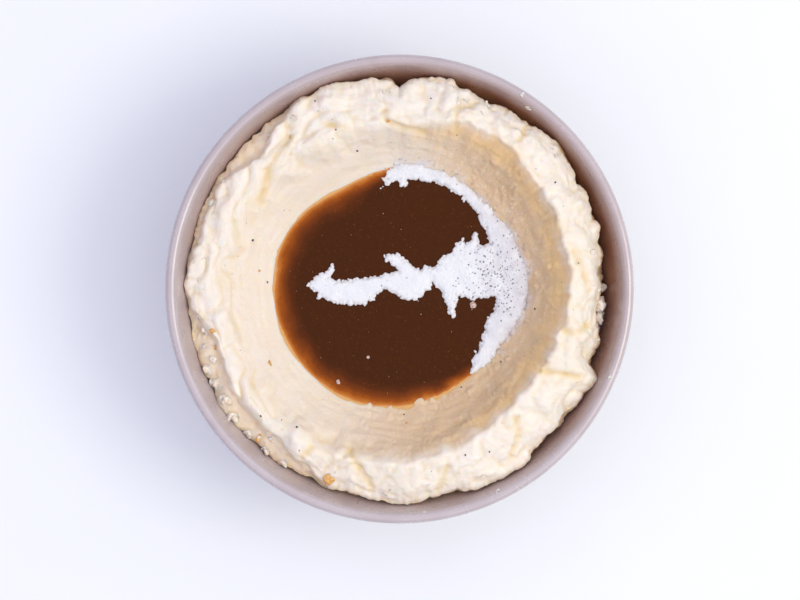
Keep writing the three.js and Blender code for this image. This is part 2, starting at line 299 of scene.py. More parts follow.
class MashSettings(bpy.types.PropertyGroup):
    """Sizes and colours of the mash."""

    fluffy: colour_choice("Fluffy mash", "Colour of the ring", srgb(241, 234, 221))
    smeared: colour_choice("Smeared mash", "Colour of the moist hollow", srgb(236, 225, 208))
    # moist mash colour, also used as painted shade on the shaded hollow wall, the ledge and the
    # side in the gap
    moist: colour_choice(
        "Moist mash", "Colour where the mash has drawn up gravy", srgb(220, 190, 150))
    # painted shade in creases, valleys and hollows, also the mottled tone and dark grains
    crease_shade_and_tone: colour_choice(
        "Buttery creases", "Colour down in the creases", srgb(232, 206, 146))
    lump_size: length_choice("Lump size", "Width of the large lumps", 6.5, 20, 1)
    lump_height: length_choice("Lump height", "How far the large lumps stand out", 2.3, 4)
    fold_height: length_choice("Fold height", "Height of the folds that the spoon left", 1.3, 4)
    streak_depth: length_choice("Streak depth", "Depth of the spoon's streaks", 0.28, 1)


class GravySettings(bpy.types.PropertyGroup):
    """Colours and surface of the gravy."""

    deep: colour_choice("Deep gravy", "Colour where it is deep", srgb(68, 33, 8))
    shallow: colour_choice("Shallow gravy", "Colour near the shore", srgb(168, 98, 38))
    film: colour_choice(
        "Film of gravy", "Colour of the last film on the mash", srgb(214, 166, 104))
    meniscus: length_choice("Meniscus", "How far the gravy climbs at its edge", 0.18, 1)


class CreamSettings(bpy.types.PropertyGroup):
    """Colours and bubbles of the cream."""

    froth: colour_choice("Froth", "Colour of the froth", srgb(229, 231, 231))
    pit: colour_choice("Open bubble", "Colour inside an open bubble", srgb(112, 102, 110))
    cell: length_choice("Cell", "Spacing of the mesh", 0.17, 1, 0.1)
    pits: count_choice("Open bubbles", "How many bubbles are open", 520, 2000)


class SpeckSettings(bpy.types.PropertyGroup):
    """Colours and numbers of the small things."""

    pepper: colour_choice("Pepper", "Colour of the ground pepper", srgb(58, 48, 38))
    fleck: colour_choice(
        "Browned bits", "Colour of the browned bits of potato", srgb(206, 148, 72))
    dust: count_choice("Fine pepper", "How many fine grains lie about", 70, 500)
    bubbles: count_choice("Froth bubbles", "How many bubbles cling to the mash", 620, 4000)


class StageSettings(bpy.types.PropertyGroup):
    """Floor, lights and camera."""

    floor: colour_choice("Floor", "Colour of the floor", (0.86, 0.885, 0.89))
    key: number_choice(
        "Key light", "Power of the soft window-like light", 3.12, 500, unit="POWER")
    sky: number_choice(
        "Window glow", "Strength of the broad light round the key light", 0.62, 10)
    fill: number_choice("Fill light", "Strength of the light from overhead", 1.41, 10)
    lens: number_choice("Lens", "Focal length", 110, 500, 10, unit="CAMERA")


# ---------------------------------------------------------------- numbers


def smooth_between(a, b, c, d, t):
    """A smooth curve from b to c as t goes from 0 to 1, with a and d beyond its ends."""
    return b + 0.5 * t * (c - a + t * (2 * a - 5 * b + 4 * c - d + t * (3 * (b - c) + d - a)))


def around(values, degrees):
    """Smooth closed interpolation of values spaced evenly round the axis."""
    values = np.asarray(values, float)
    place = np.asarray(degrees, float) / 360 * len(values)
    low = np.floor(place).astype(int)
    return smooth_between(*(values[(low + k) % len(values)] for k in (-1, 0, 1, 2)), place - low)


def directions(count):
    """Degrees that divide the whole turn evenly."""
    return np.arange(count) * 360 / count


def turned_from(degrees, middle):
    """How far directions lie from a middle one, from -180 to 180 degrees."""
    return (degrees - middle + 180) % 360 - 180


def smoothstep(low, high, x):
    """0 up to low, 1 from high on, and smooth in between."""
    t = np.clip((x - low) / (high - low), 0, 1)
    return t * t * (3 - 2 * t)


def bell(x, width):
    """1 where x is 0, falling off smoothly over the width on both sides."""
    return np.exp(-((x / width) ** 2))


def blended_min(a, b, width):
    """The lower of two heights, rounded where they cross."""
    h = np.clip(0.5 + 0.5 * (b - a) / width, 0, 1)
    return b + (a - b) * h - width * h * (1 - h)


def polar(radius, degrees, z):
    """Points by radius, direction in degrees and height."""
    angle = np.radians(degrees)
    return np.stack([radius * np.cos(angle), radius * np.sin(angle), z + 0 * radius], -1)


def grounded(xy):
    """Points of x and y put at height 0."""
    return np.concatenate([xy, np.zeros(xy.shape[:-1] + (1,))], -1)


def field(function, points, size, shift):
    """A noise function at each point, its features as large as size. The shift
    keeps patterns apart."""
    flat = (np.asarray(points, float).reshape(-1, 3) / size + shift).tolist()
    found = np.array([function(p) for p in flat])
    return found.reshape(points.shape[:-1] + found.shape[1:])


def plain(p):
    return noise.noise(p)


def clouds(points, millimetres, shift):
    """Soft noise from -1 to 1, its features so many millimetres across."""
    return field(plain, points, millimetres * MM, shift)


def billowed(points, size, shift):
    """Rounded swellings with sharp valleys between them, centred on 0."""
    return np.abs(field(plain, points, size, shift)) * 2.2 - 0.5


def cells(p):
    """Distances to the nearest and second nearest cell centre."""
    return noise.voronoi(p)[0][:2]


def ripple(degrees, radius, size, shift):
    """Closed wave round the axis, from -1 to 1."""
    return field(plain, polar(radius + 0 * degrees, degrees, 0.0), size, shift)


def track(points, spacing):
    """Dense points along a smooth line through points of any dimension."""
    p = np.asarray(points, float)
    p = np.vstack([2 * p[0] - p[1], p, 2 * p[-1] - p[-2]])
    dense = []
    for a, b, c, d in zip(p, p[1:], p[2:], p[3:]):
        steps = max(2, int(np.linalg.norm((c - b)[:2]) / spacing))
        t = np.linspace(0, 1, steps, endpoint=False)[:, None]
        dense.append(smooth_between(a, b, c, d, t))
    return np.vstack(dense + [p[-2][None]])


# ---------------------------------------------------------------- meshes


def linked(name, data):
    """A new object at the origin, linked to the scene."""
    made = bpy.data.objects.new(name, data)
    bpy.context.scene.collection.objects.link(made)
    return made


def new_object(name, points, faces, material, attributes=None):
    mesh = bpy.data.meshes.new(name)
    mesh.from_pydata(np.asarray(points).reshape(-1, 3).tolist(), [], faces)
    mesh.shade_smooth()
    mesh.materials.append(material)
    for key, values in (attributes or {}).items():
        attribute = mesh.attributes.new(key, "FLOAT", "POINT")
        attribute.data.foreach_set("value", np.asarray(values, np.float32).ravel())
    return linked(name, mesh)


def turned(name, rings, material, attributes=None):
    """Closed mesh from rings of points; the first and last ring close to a point."""
    count, sectors = rings.shape[:2]
    points = np.vstack([rings[0].mean(0), rings[1:-1].reshape(-1, 3), rings[-1].mean(0)])
    index = 1 + np.arange((count - 2) * sectors).reshape(count - 2, sectors)
    turn = np.roll(index, -1, axis=1)
    quads = np.stack([index[:-1], index[1:], turn[1:], turn[:-1]], -1).reshape(-1, 4)
    last = len(points) - 1
    faces = [(0, a, b) for a, b in zip(index[0].tolist(), turn[0].tolist())]
    faces += quads.tolist()
    faces += [(last, b, a) for a, b in zip(index[-1].tolist(), turn[-1].tolist())]
    kept = {
        key: np.concatenate([[v[0].mean()], v[1:-1].ravel(), [v[-1].mean()]])
        for key, v in (attributes or {}).items()
    }
    return new_object(name, points, faces, material, kept)


def finish_piece(piece, slot, *nodes):
    """Hangs a piece on the root and hides the nodes that it replaces; the slot is not used."""
    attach(piece, BODY)
    if nodes:
        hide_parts(*nodes)


def wall_points(share, side):
    """Points of the bowl's section: side 1 is the inner face and -1 the outer one."""
    share = np.asarray(share, float)
    rise = LIP_CENTRE[1] - FLOOR_MIDDLE
    slope = rise * WALL_STEEPNESS * share ** (WALL_STEEPNESS - 1) / LIP_CENTRE[0]
    normal = np.stack([-slope, np.ones_like(slope)], -1) / np.hypot(slope, 1)[..., None]
    thickness = FLOOR_THICKNESS + (RIM_THICKNESS - FLOOR_THICKNESS) * share
    middle = np.stack([LIP_CENTRE[0] * share, FLOOR_MIDDLE + rise * share**WALL_STEEPNESS], -1)
    return middle + normal * (side * thickness / 2)[..., None]


INNER_WALL = wall_points(np.linspace(0, 1, 400), 1)


def wall_radius(z):
    """Radius of the bowl's inner face at a height."""
    return np.interp(z, INNER_WALL[:, 1], INNER_WALL[:, 0])


def wall_height(radius):
    """Height of the bowl's inner face at a radius."""
    return np.interp(radius, INNER_WALL[:, 0], INNER_WALL[:, 1])


# ---------------------------------------------------------------- shaders


class Value:
    """A shader socket for Python expressions: each operator adds a Math node."""

    def __init__(self, graph, socket):
        self.graph = graph
        self.socket = socket

    def math(self, operation, *operands):
        sockets = dict(enumerate(operands))
        return self.graph.node("ShaderNodeMath", {"operation": operation}, sockets)

    def __add__(self, other):
        return self.math("ADD", self, other)

    def __sub__(self, other):
        return self.math("SUBTRACT", self, other)

    def __rsub__(self, other):
        return self.math("SUBTRACT", other, self)

    def __mul__(self, other):
        return self.math("MULTIPLY", self, other)

    def __pow__(self, other):
        return self.math("POWER", self, other)

    __radd__ = __add__
    __rmul__ = __mul__

    def between(self, low, high):
        """0 at low, 1 at high, and smooth in between."""
        settings = {"interpolation_type": "SMOOTHSTEP"}
        sockets = {"Value": self, "From Min": low, "From Max": high}
        return self.graph.node("ShaderNodeMapRange", settings, sockets)


class Graph:
    """A node tree that is built by one method."""

    def __init__(self, tree):
        self.tree = tree

    def node(self, kind, settings=None, sockets=None, output=0):
        """A node with its settings, then values or links for its sockets."""
        made = self.tree.nodes.new(kind)
        for key, value in (settings or {}).items():
            if key == "stops":
                set_stops(made.color_ramp, value)
            else:
                setattr(made, key, value)
        for key, value in (sockets or {}).items():
            if isinstance(value, Value):
                self.tree.links.new(value.socket, made.inputs[key])
            else:
                made.inputs[key].default_value = value
        return Value(self, made.outputs[output]) if len(made.outputs) else made


def set_stops(ramp, stops):
    while len(ramp.elements) < len(stops):
        ramp.elements.new(1)
    for element, (position, colour) in zip(ramp.elements, stops):
        element.position = position
        element.color = (*colour[:3], 1)


class Material(Graph):
    """A material: object coordinates, patterns, colour mixes and one shader."""

    def __init__(self, name):
        self.material = bpy.data.materials.new(name)
        self.material.use_nodes = True
        super().__init__(self.material.node_tree)
        self.tree.nodes.clear()
        self.place = self.node("ShaderNodeTexCoord", output="Object")

    def attribute(self, name):
        """A number that the mesh holds at each of its points."""
        return self.node("ShaderNodeAttribute", {"attribute_name": name}, output="Fac")

    def height(self):
        return self.node("ShaderNodeSeparateXYZ", sockets={0: self.place}, output="Z")

    def noise(self, size, detail=2.0, roughness=0.5):
        return self.node("ShaderNodeTexNoise", {"noise_dimensions": "3D"}, {
            "Vector": self.place, "Scale": 1 / size, "Detail": detail, "Roughness": roughness})

    def spots(self, size):
        """Distance to the nearest of points spaced by about the size."""
        sockets = {"Vector": self.place, "Scale": 1 / size}
        return self.node("ShaderNodeTexVoronoi", {"feature": "F1"}, sockets)

    def mix(self, factor, a, b):
        """Colour a where the factor is 0 and b where it is 1."""
        a, b = (c if isinstance(c, Value) else (*c[:3], 1) for c in (a, b))
        return self.node("ShaderNodeMix", {"data_type": "RGBA"}, {0: factor, 6: a, 7: b}, output=2)

    def bump(self, height, distance, strength=1.0, normal=None):
        sockets = {"Height": height, "Distance": distance, "Strength": strength}
        if normal:
            sockets["Normal"] = normal
        return self.node("ShaderNodeBump", sockets=sockets)

    def finish(self, **sockets):
        """The one shader, its sockets named with _ for a space."""
        named = {key.replace("_", " "): value for key, value in sockets.items()}
        shader = self.node("ShaderNodeBsdfPrincipled", sockets=named)
        self.node("ShaderNodeOutputMaterial", sockets={"Surface": shader})
        return self.material


def glaze_material(settings):
    m = Material("glaze")
    cloudy = m.noise(9 * MM, detail=4).between(0.35, 0.7)
    grains = 1 - m.spots(0.9 * MM).between(0.10, 0.24)
    pores = m.noise(2.2 * MM, detail=3).between(0.55, 0.75)
    lip = m.height().between(RIM_HEIGHT - 1.2 * MM, RIM_HEIGHT)
    colour = m.mix(cloudy * 0.35, settings.glaze, settings.glaze_dark)
    colour = m.mix(grains * pores * 0.22, colour, settings.glaze_dark)
    colour = m.mix(lip * 0.18, colour, settings.glaze_dark)
    # painted shade and a painted brown reflection of the mash on the inner wall
    colour = m.mix(m.attribute("damp"), colour, settings.film)
    bare = 1 - m.height().between(0.9 * MM, 1.5 * MM)
    colour = m.mix(bare, colour, settings.clay)
    roughness = 0.26 + 0.06 * cloudy + 0.45 * bare
    waves = m.bump(m.noise(3.5 * MM, detail=2), 0.05 * MM, 0.5)
    normal = m.bump(m.noise(0.5 * MM, detail=2), 0.012 * MM, 0.6, waves)
    return m.finish(
        Base_Color=colour, Roughness=roughness, Normal=normal, IOR=1.6, Specular_IOR_Level=0.85)


def mash_material(settings):
    m = Material("mash")
    hollow = m.attribute("hollow")
    crease = m.attribute("crease")
    grainy = m.attribute("grainy")
    mottle = m.noise(5 * MM, detail=4, roughness=0.6).between(0.38, 0.68)
    grain = m.noise(0.7 * MM, detail=2, roughness=0.7)
    broad = m.noise(15 * MM, detail=3).between(0.42, 0.66)
    colour = m.mix(hollow * 0.85, settings.fluffy, settings.smeared)
    colour = m.mix(broad * 0.3, colour, CREAMY_TONE)
    # moist mash, partly painted shade on the shaded side of the hollow, the ledge and the gap
    moist = m.attribute("moist")
    colour = m.mix(moist, colour, settings.moist)
    blotch = m.noise(3.4 * MM, detail=5, roughness=0.68)
    colour = m.mix(blotch.between(0.5, 0.72) * 0.35 * moist, colour, MOIST_BLOTCH)
    colour = m.mix((1 - blotch.between(0.28, 0.45)) * 0.35 * moist, colour, settings.smeared)
    # painted warm glow in the shade under the crest
    colour = m.mix(m.attribute("golden"), colour, PAINTED_GLOW)
    colour = m.mix(mottle * 0.12, colour, settings.crease_shade_and_tone)
    # painted shade in creases, fold valleys and sunken places
    colour = m.mix(crease, colour, settings.crease_shade_and_tone)
    pale = grain.between(0.56, 0.7) * (0.12 + 0.2 * moist + 0.6 * grainy)
    dark = (1 - grain.between(0.3, 0.44)) * (0.05 + 0.2 * moist + 0.35 * grainy)
    colour = m.mix(pale, colour, settings.fluffy)
    colour = m.mix(dark, colour, settings.crease_shade_and_tone)
    stipple = m.noise(0.6 * MM, detail=3, roughness=0.7).between(0.4, 0.56)
    colour = m.mix(m.attribute("frothy") * stipple, colour, FROTH_FRINGE)
    roughness = 0.42 + 0.2 * m.noise(2 * MM, detail=2) + 0.08 * (1 - hollow)
    soft = m.bump(m.noise(1.9 * MM, detail=4, roughness=0.65), 0.4 * MM, 0.7)
    normal = m.bump(grain, 0.16 * MM, 0.7, soft)
    return m.finish(
        Base_Color=colour, Roughness=roughness, Normal=normal, IOR=1.42,
        Subsurface_Weight=0.8, Subsurface_Radius=(1.0, 0.72, 0.46), Subsurface_Scale=1.7 * MM)


def gravy_material(settings):
    m = Material("gravy")
    depth = m.attribute("depth")
    swirl = m.noise(7 * MM, detail=3, roughness=0.55)
    grain = m.noise(0.55 * MM, detail=2, roughness=0.7)
    ramp = {"stops": [(0.0, settings.film), *GRAVY_SHADES, (1.0, settings.deep)]}
    colour = m.node("ShaderNodeValToRGB", ramp, {"Fac": depth + (swirl - 0.5) * 0.10 * depth})
    colour = m.mix(grain.between(0.6, 0.75) * 0.22, colour, settings.shallow)
    colour = m.mix((1 - grain.between(0.25, 0.42)) * 0.3, colour, GRAVY_SPECK)
    normal = m.bump(grain, 0.02 * MM, 0.35)
    return m.finish(
        Base_Color=colour, Roughness=0.2 + 0.1 * swirl, Normal=normal, IOR=1.38,
        Specular_IOR_Level=0.2)


def froth_material(settings):
    m = Material("froth")
    pit = m.attribute("pit")
    thin = m.attribute("thin")
    fine = m.spots(0.42 * MM)
    film = 1 - fine.between(0.12, 0.42)
    colour = m.mix(film * 0.10, settings.froth, settings.pit)
    # greyer froth: partly looser froth, partly painted shade on the right side and the outer arc
    colour = m.mix(m.attribute("loose"), colour, SHADED_LOOSE_FROTH)
    colour = m.mix(thin * 0.5, colour, THIN_FROTH)
    colour = m.mix(pit, colour, settings.pit)
    normal = m.bump(fine, 0.07 * MM, 0.5)
    return m.finish(
        Base_Color=colour, Roughness=0.38 + 0.2 * film, Normal=normal, IOR=1.34,
        Subsurface_Weight=0.4, Subsurface_Radius=(1.0, 0.9, 0.85), Subsurface_Scale=1.0 * MM)


def grain_material(name, light, dark, size, roughness=0.6, **constants):
    """Two-tone uneven matter for specks and crumbs."""
    m = Material(name)
    tone = m.noise(size, detail=3).between(0.35, 0.65)
    colour = m.mix(tone, light, dark)
    normal = m.bump(m.noise(size / 2, detail=2), 0.05 * MM, 0.6)
    return m.finish(
        Base_Color=colour, Roughness=roughness + 0.1 * tone, Normal=normal, **constants)


def floor_material(settings):
    m = Material("floor")
    tone = m.noise(90 * MM, detail=3).between(0.3, 0.7)
    paper = m.noise(1.5 * MM, detail=2)
    shade = tuple(c * 0.985 for c in settings.floor)
    colour = m.mix(tone, tuple(settings.floor), shade)
    normal = m.bump(paper, 0.02 * MM, 0.2)
    return m.finish(
        Base_Color=colour, Roughness=0.85 + 0.05 * tone, Normal=normal, Specular_IOR_Level=0.2)


# ---------------------------------------------------------------- mash shape


def crease_field(points):
    """Depth and nearness of the pressed creases at points of the surface."""
    depth = np.zeros(points.shape[:-1])
    near = np.zeros(points.shape[:-1])
    flat = points[..., :2]
    stray = 0.5 * MM * clouds(points, 2.5, 3.0)
    for route, width, deep in CREASES:
        line = polar(*np.array([(r * MM, a) for a, r in route]).T, 0.0)[:, :2]
        line = track(line, 0.4 * MM)
        middle = line.mean(0)
        reach = np.linalg.norm(line - middle, axis=1).max() + 4 * width * MM
        close = np.linalg.norm(flat - middle, axis=-1) < reach
        away = np.linalg.norm(flat[close][:, None] - line[None], axis=-1).min(1) + stray[close]
        groove = bell(away, 1.3 * width * MM)
        depth[close] = np.maximum(depth[close], groove * 0.75 * deep * MM)
        near[close] = np.maximum(near[close], bell(away, 1.8 * width * MM))
    return depth, near


def edge_radius(degrees):
    """Radius of the mash's outer edge, with its lobes, nicks and fine waves."""
    radius = EDGE_RADIUS + 0.6 * MM * ripple(degrees, EDGE_RADIUS, 6 * MM, 7.0)
    for at, width, reach in LOBES:
        radius = radius + reach * MM * bell(turned_from(degrees, at), width)
    radius = radius + 0.45 * MM * ripple(degrees, radius, 3.2 * MM, 5.0)
    return radius + 0.3 * MM * ripple(degrees, radius, 1.3 * MM, 9.0)


def mash_sections(degrees):
    """Radii and heights that shape the ring in each direction."""

    def wave(radius, size, shift):
        return ripple(degrees, radius * MM, size * MM, shift)

    ragged = 1.0 * wave(50, 3.6, 2.6) + 0.4 * wave(50, 1.4, 2.9)
    crest = around(CREST, degrees) * MM + 1.1 * MM * wave(50, 8, 1.0) + 0.5 * MM * wave(50, 3, 2.0)
    edge_z = RIM_HEIGHT - around(EDGE_DROP, degrees) * MM + 0.5 * MM * wave(60, 7, 4.0)
    crest_z = CREST_HEIGHT - around(CREST_DROP, degrees) * MM + 0.45 * MM * wave(50, 9, 6.0)
    mound = np.interp(degrees, np.arange(25) * 15, MOUND_EDGE + MOUND_EDGE[:1]) * MM
    return {
        "shore": around(SHORE, degrees) * MM,
        "crest": crest + ragged * MM * around(CREST_RAGGED, degrees),
        "crest_z": crest_z,
        "edge": np.minimum(edge_radius(degrees), wall_radius(edge_z) - WALL_ROOM),
        "edge_z": edge_z,
        "power": around(HOLLOW_POWER, degrees),
        "slope": around(SLOPE_POWER, degrees),
        "rounding": around(CREST_ROUNDING, degrees) * MM,
        "mound": mound + 0.8 * MM * wave(58, 5, 8.0),
    }


def top_height(radius, s):
    """Height of the smooth top at a radius, for sections s."""
    share = np.clip(radius / s["shore"], 0, 1)
    bed = POOL_LEVEL - POOL_DEPTH * (1 - share**2)
    along = np.maximum(radius - s["shore"], 0) / (s["crest"] - s["shore"])
    hollow = POOL_LEVEL + (s["crest_z"] - POOL_LEVEL) * along ** s["power"]
    out = np.clip((radius - s["crest"]) / (s["edge"] - s["crest"]), -1, 1)
    slope = s["crest_z"] + (s["edge_z"] - s["crest_z"]) * np.maximum(out, 0) ** s["slope"]
    slope = slope - 0.06 * np.minimum(radius - s["crest"], 0)
    slope = slope - LEDGE_DROP * smoothstep(-0.4 * MM, 1.6 * MM, radius - s["mound"])
    above = blended_min(hollow, slope, s["rounding"])
    return np.where(radius < s["shore"], bed, above)


def softened(grid):
    """The grid's values smoothed over a few cells both ways."""
    for _ in range(3):
        grid = sum(np.roll(grid, k, 1) for k in range(-3, 4)) / 7
        padded = np.pad(grid, ((2, 2), (0, 0)), "edge")
        grid = sum(padded[k:k + len(grid)] for k in range(5)) / 5
    return grid


def soft_lumps(rings, near_edge, settings):
    """Smooth billows everywhere and rounded clods towards the outer edge."""
    size = settings.lump_size
    warp = np.stack([clouds(rings, 5, k) for k in (20.0, 30.0, 40.0)], -1) * 1.6 * MM
    bent = rings + warp
    billow = 0.36 * field(plain, rings, size, 1.5) + 0.30 * billowed(bent, size * 1.15, 2.5)
    billow += 0.09 * billowed(bent, size * 0.5, 3.5) + 0.08 * field(plain, rings, size * 0.22, 4.5)
    domes = 0
    for share, weight, shift in ((0.9, 0.66, 0.5), (0.4, 0.24, 7.5)):
        nearest = field(cells, bent, size * share, shift)[..., 0]
        domes = domes + weight * (np.sqrt(np.maximum(1 - (nearest / 0.95) ** 2, 0)) - 0.75)
    patchy = smoothstep(0.0, 0.45, clouds(rings, 12, 50.0))
    clods = np.clip(near_edge + 0.15 * patchy, 0, 1)
    return settings.lump_height * (billow + clods * domes)


def spoon_folds(radii, degrees, rings, settings):
    """Long tongues that overlap round the ring, with narrow valleys between them."""
    angle = np.radians(degrees)
    stray = np.stack([clouds(rings, 7, k) for k in (61.0, 62.0)], -1)
    turn = angle + 0.10 * stray[..., 0]
    reach = radii / (7 * MM) + 0.45 * stray[..., 1] + 1.1 * np.sin(2.5 * turn)
    tongues = np.stack([np.cos(turn) * 4.2, np.sin(turn) * 4.2, reach], -1)
    broad = np.abs(field(plain, tongues, 1.0, 60.0))
    narrow = np.abs(field(plain, tongues, 0.45, 65.0))
    strength = smoothstep(-0.25, 0.15, around(FOLDED, degrees)) + 0 * radii
    line = bell(broad, 0.05) * strength
    return settings.fold_height * (2.3 * broad + 0.6 * narrow - 0.85) * strength, line


def streaked(radii, degrees, rings, settings):
    """Streaks that the spoon dragged round the hollow, on its broad unevenness."""
    angle = np.radians(degrees) + 0 * radii
    dragged = np.stack([np.cos(angle) * 3, np.sin(angle) * 3, radii / (1.5 * MM)], -1)
    streaks = field(plain, dragged, 1.0, 4.0) + 0.6 * field(plain, dragged, 0.45, 8.0)
    broad = 0.35 * clouds(rings, 9, 12.0)
    rags = smoothstep(-0.2, 0.4, clouds(rings, 7, 16.0))
    torn = 0.26 * clouds(rings, 4.5, 13.0) + 0.26 * rags * billowed(rings, 2 * MM, 14.0)
    moist = around(MOISTURE_AND_SHADE, degrees)
    depth = settings.streak_depth * (0.5 + 0.5 * moist)
    return depth * streaks + MM * (broad + torn * (0.3 + 1.7 * moist))


# Zones of the mash: under the gravy, the hollow's wall, the ring and what the
# bowl hides
BED, HOLLOW, TOP, SIDE, BASE = range(5)


def ring_grid(s):
    """Zone, radius and height of every ring of points, from the middle outwards."""
    wall, crown = s["crest"] - s["shore"], s["edge"] - s["crest"]
    rows = [(BED, s["shore"] * t) for t in np.linspace(0, 1, 7)[:-1]]
    rows += [(HOLLOW, s["shore"] + wall * t) for t in np.linspace(0, 1, 37)[:-1]]
    rows += [(TOP, s["crest"] + crown * t) for t in np.linspace(0, 1, 45)]
    rows = [(zone, radius, top_height(radius, s)) for zone, radius in rows]
    brink = rows[-1][2]
    for down in np.linspace(0.5, 16, 13) * MM:
        z = brink - down
        rows.append((SIDE, np.minimum(s["edge"] + 0.06 * down, wall_radius(z) - WALL_ROOM), z))
    foot = rows[-1][1]
    for share in (0.92, 0.75, 0.5, 0.25, 0.0):
        rows.append((BASE, foot * share, wall_height(foot * share) + WALL_ROOM))
    zone = np.array([row[0] for row in rows])[:, None]
    return zone, np.array([row[1] for row in rows]), np.array([row[2] for row in rows])


def outward(rings):
    """Unit normals of a polar grid of points."""
    across = np.roll(rings, -1, 1) - np.roll(rings, 1, 1)
    normals = np.cross(np.gradient(rings, axis=0), across)
    return normals / np.maximum(np.linalg.norm(normals, axis=-1, keepdims=True), 1e-12)


def froth_marks(degrees, zone, radii, rings, in_hollow):
    """How grainy and how frothy the hollow's wall is along the froth."""
    off = turned_from(degrees, FROTH_MIDDLE)
    grainy = np.exp(-(((radii / MM - 42.5) / 3.6) ** 2) - (off / 50) ** 2)
    grainy = grainy * smoothstep(-0.35, 0.3, clouds(rings, 5, 33.0)) * in_hollow
    frothy = np.zeros(radii.shape)
    beside = (zone == HOLLOW) & (np.abs(off) < 95)
    distance = np.clip(froth_distance(rings[beside][:, :2]), 0, 9 * MM)
    frothy[beside] = np.exp(-distance / (1.5 * MM))
    return grainy, frothy * smoothstep(-0.6, 0.3, clouds(rings, 4, 36.0))


def kept_in_bowl(points):
    """The points drawn in to the bowl's inner face where they stand past it."""
    radius = np.hypot(points[..., 0], points[..., 1])
    limit = wall_radius(np.clip(points[..., 2], 0, RIM_HEIGHT - LIP)) - 0.12 * MM
    points[..., :2] *= np.minimum(1, limit / np.maximum(radius, 1e-9))[..., None]
    return points


def build_mash(settings, material):
    """The mash with its relief, and how moist, creased or frothy it is, with painted shade in
    creases, on the shaded side and low parts, and a painted warm glow under the crest.
    """
    degrees = directions(MASH_SECTORS)
    s = mash_sections(degrees)
    zone, radii, heights = ring_grid(s)
    rings = polar(radii, degrees[None] + 0 * radii, heights)
    moist = around(MOISTURE_AND_SHADE, degrees)
    folded = around(FOLDED, degrees)
    past_crest = (radii - s["crest"]) / MM
    past_mound = (radii - s["mound"]) / MM
    from_edge = (radii - s["edge"]) / MM

    side = (zone == SIDE) * smoothstep(-16, -9, (heights - s["edge_z"]) / MM)
    seen = np.where(zone == SIDE, side, (zone == HOLLOW) | (zone == TOP))
    strayed = past_crest + 1.5 * clouds(rings, 4.5, 46.0)
    in_hollow = (1 - smoothstep(-3.8, 1.2, strayed)) * (zone < SIDE)
    inner_folds = 0.75 * smoothstep(-9, -3, past_crest) * smoothstep(-0.4, 0.1, folded) * seen
    on_ring = np.maximum(smoothstep(-0.8, 1.6, past_crest) * seen, inner_folds)
    past_ledge = 0.9 * smoothstep(-1.5, 1.5, past_mound)
    near_edge = np.maximum(smoothstep(-6, -2, from_edge), past_ledge)

    folds, fold_lines = spoon_folds(radii, degrees, rings, settings)
    calmed = 1 - 0.5 * (1 - near_edge) * smoothstep(-0.2, 0.2, folded)
    rounded = soft_lumps(rings, near_edge, settings) * calmed
    lumps = (rounded + folds * (1 - near_edge)) * on_ring
    brim = bell(past_crest - 0.7, 1.0) * np.clip(moist, 0, 1) * (zone == TOP)
    grainy, frothy = froth_marks(degrees, zone, radii, rings, in_hollow)
    hollow = streaked(radii, degrees, rings, settings) * in_hollow * seen
    hollow = hollow + 0.16 * MM * grainy * clouds(rings, 0.8, 15.0)
    depth, near_crease = crease_field(rings)
    raised = lumps + 0.4 * MM * brim + hollow - depth * seen

    # sunken places get painted shade
    sunken_shade = np.clip((softened(raised) - raised) / (0.5 * MM), 0, 1)
    # painted warm glow of light through the crest, in the shade just under it on the side towards
    # the light
    glow_under_crest = bell(strayed + 2.6, 2.4) * np.clip(1.2 * moist, 0, 1)
    glow_under_crest = glow_under_crest * (0.8 + 0.6 * clouds(rings, 6, 44.0))
    glow_under_crest = glow_under_crest * smoothstep(-0.3, 0.7, np.cos(np.radians(degrees - GLOW_SIDE)))
    crease = 0.38 * near_crease + 0.45 * sunken_shade + 0.2 * fold_lines * on_ring
    # low: painted shade on the ledge under the mound and down the side in the gap
    low = 0.45 * smoothstep(-0.5, 1.5, past_mound) + 0.35 * smoothstep(-1.6, 0, from_edge)
    low = low * (zone == TOP) + 0.85 * (zone == SIDE)
    attributes = {
        "hollow": in_hollow,
        "crease": np.clip(crease, 0, 0.8),
        "golden": np.clip(0.85 * glow_under_crest, 0, 0.8),
        "frothy": frothy,
        "grainy": grainy,
        "moist": np.clip(moist * in_hollow + low, 0, 1),
    }
    moved = kept_in_bowl(rings + outward(rings) * raised[..., None])
    return turned("mash_mound", moved, material, attributes)


# ---------------------------------------------------------------- operators


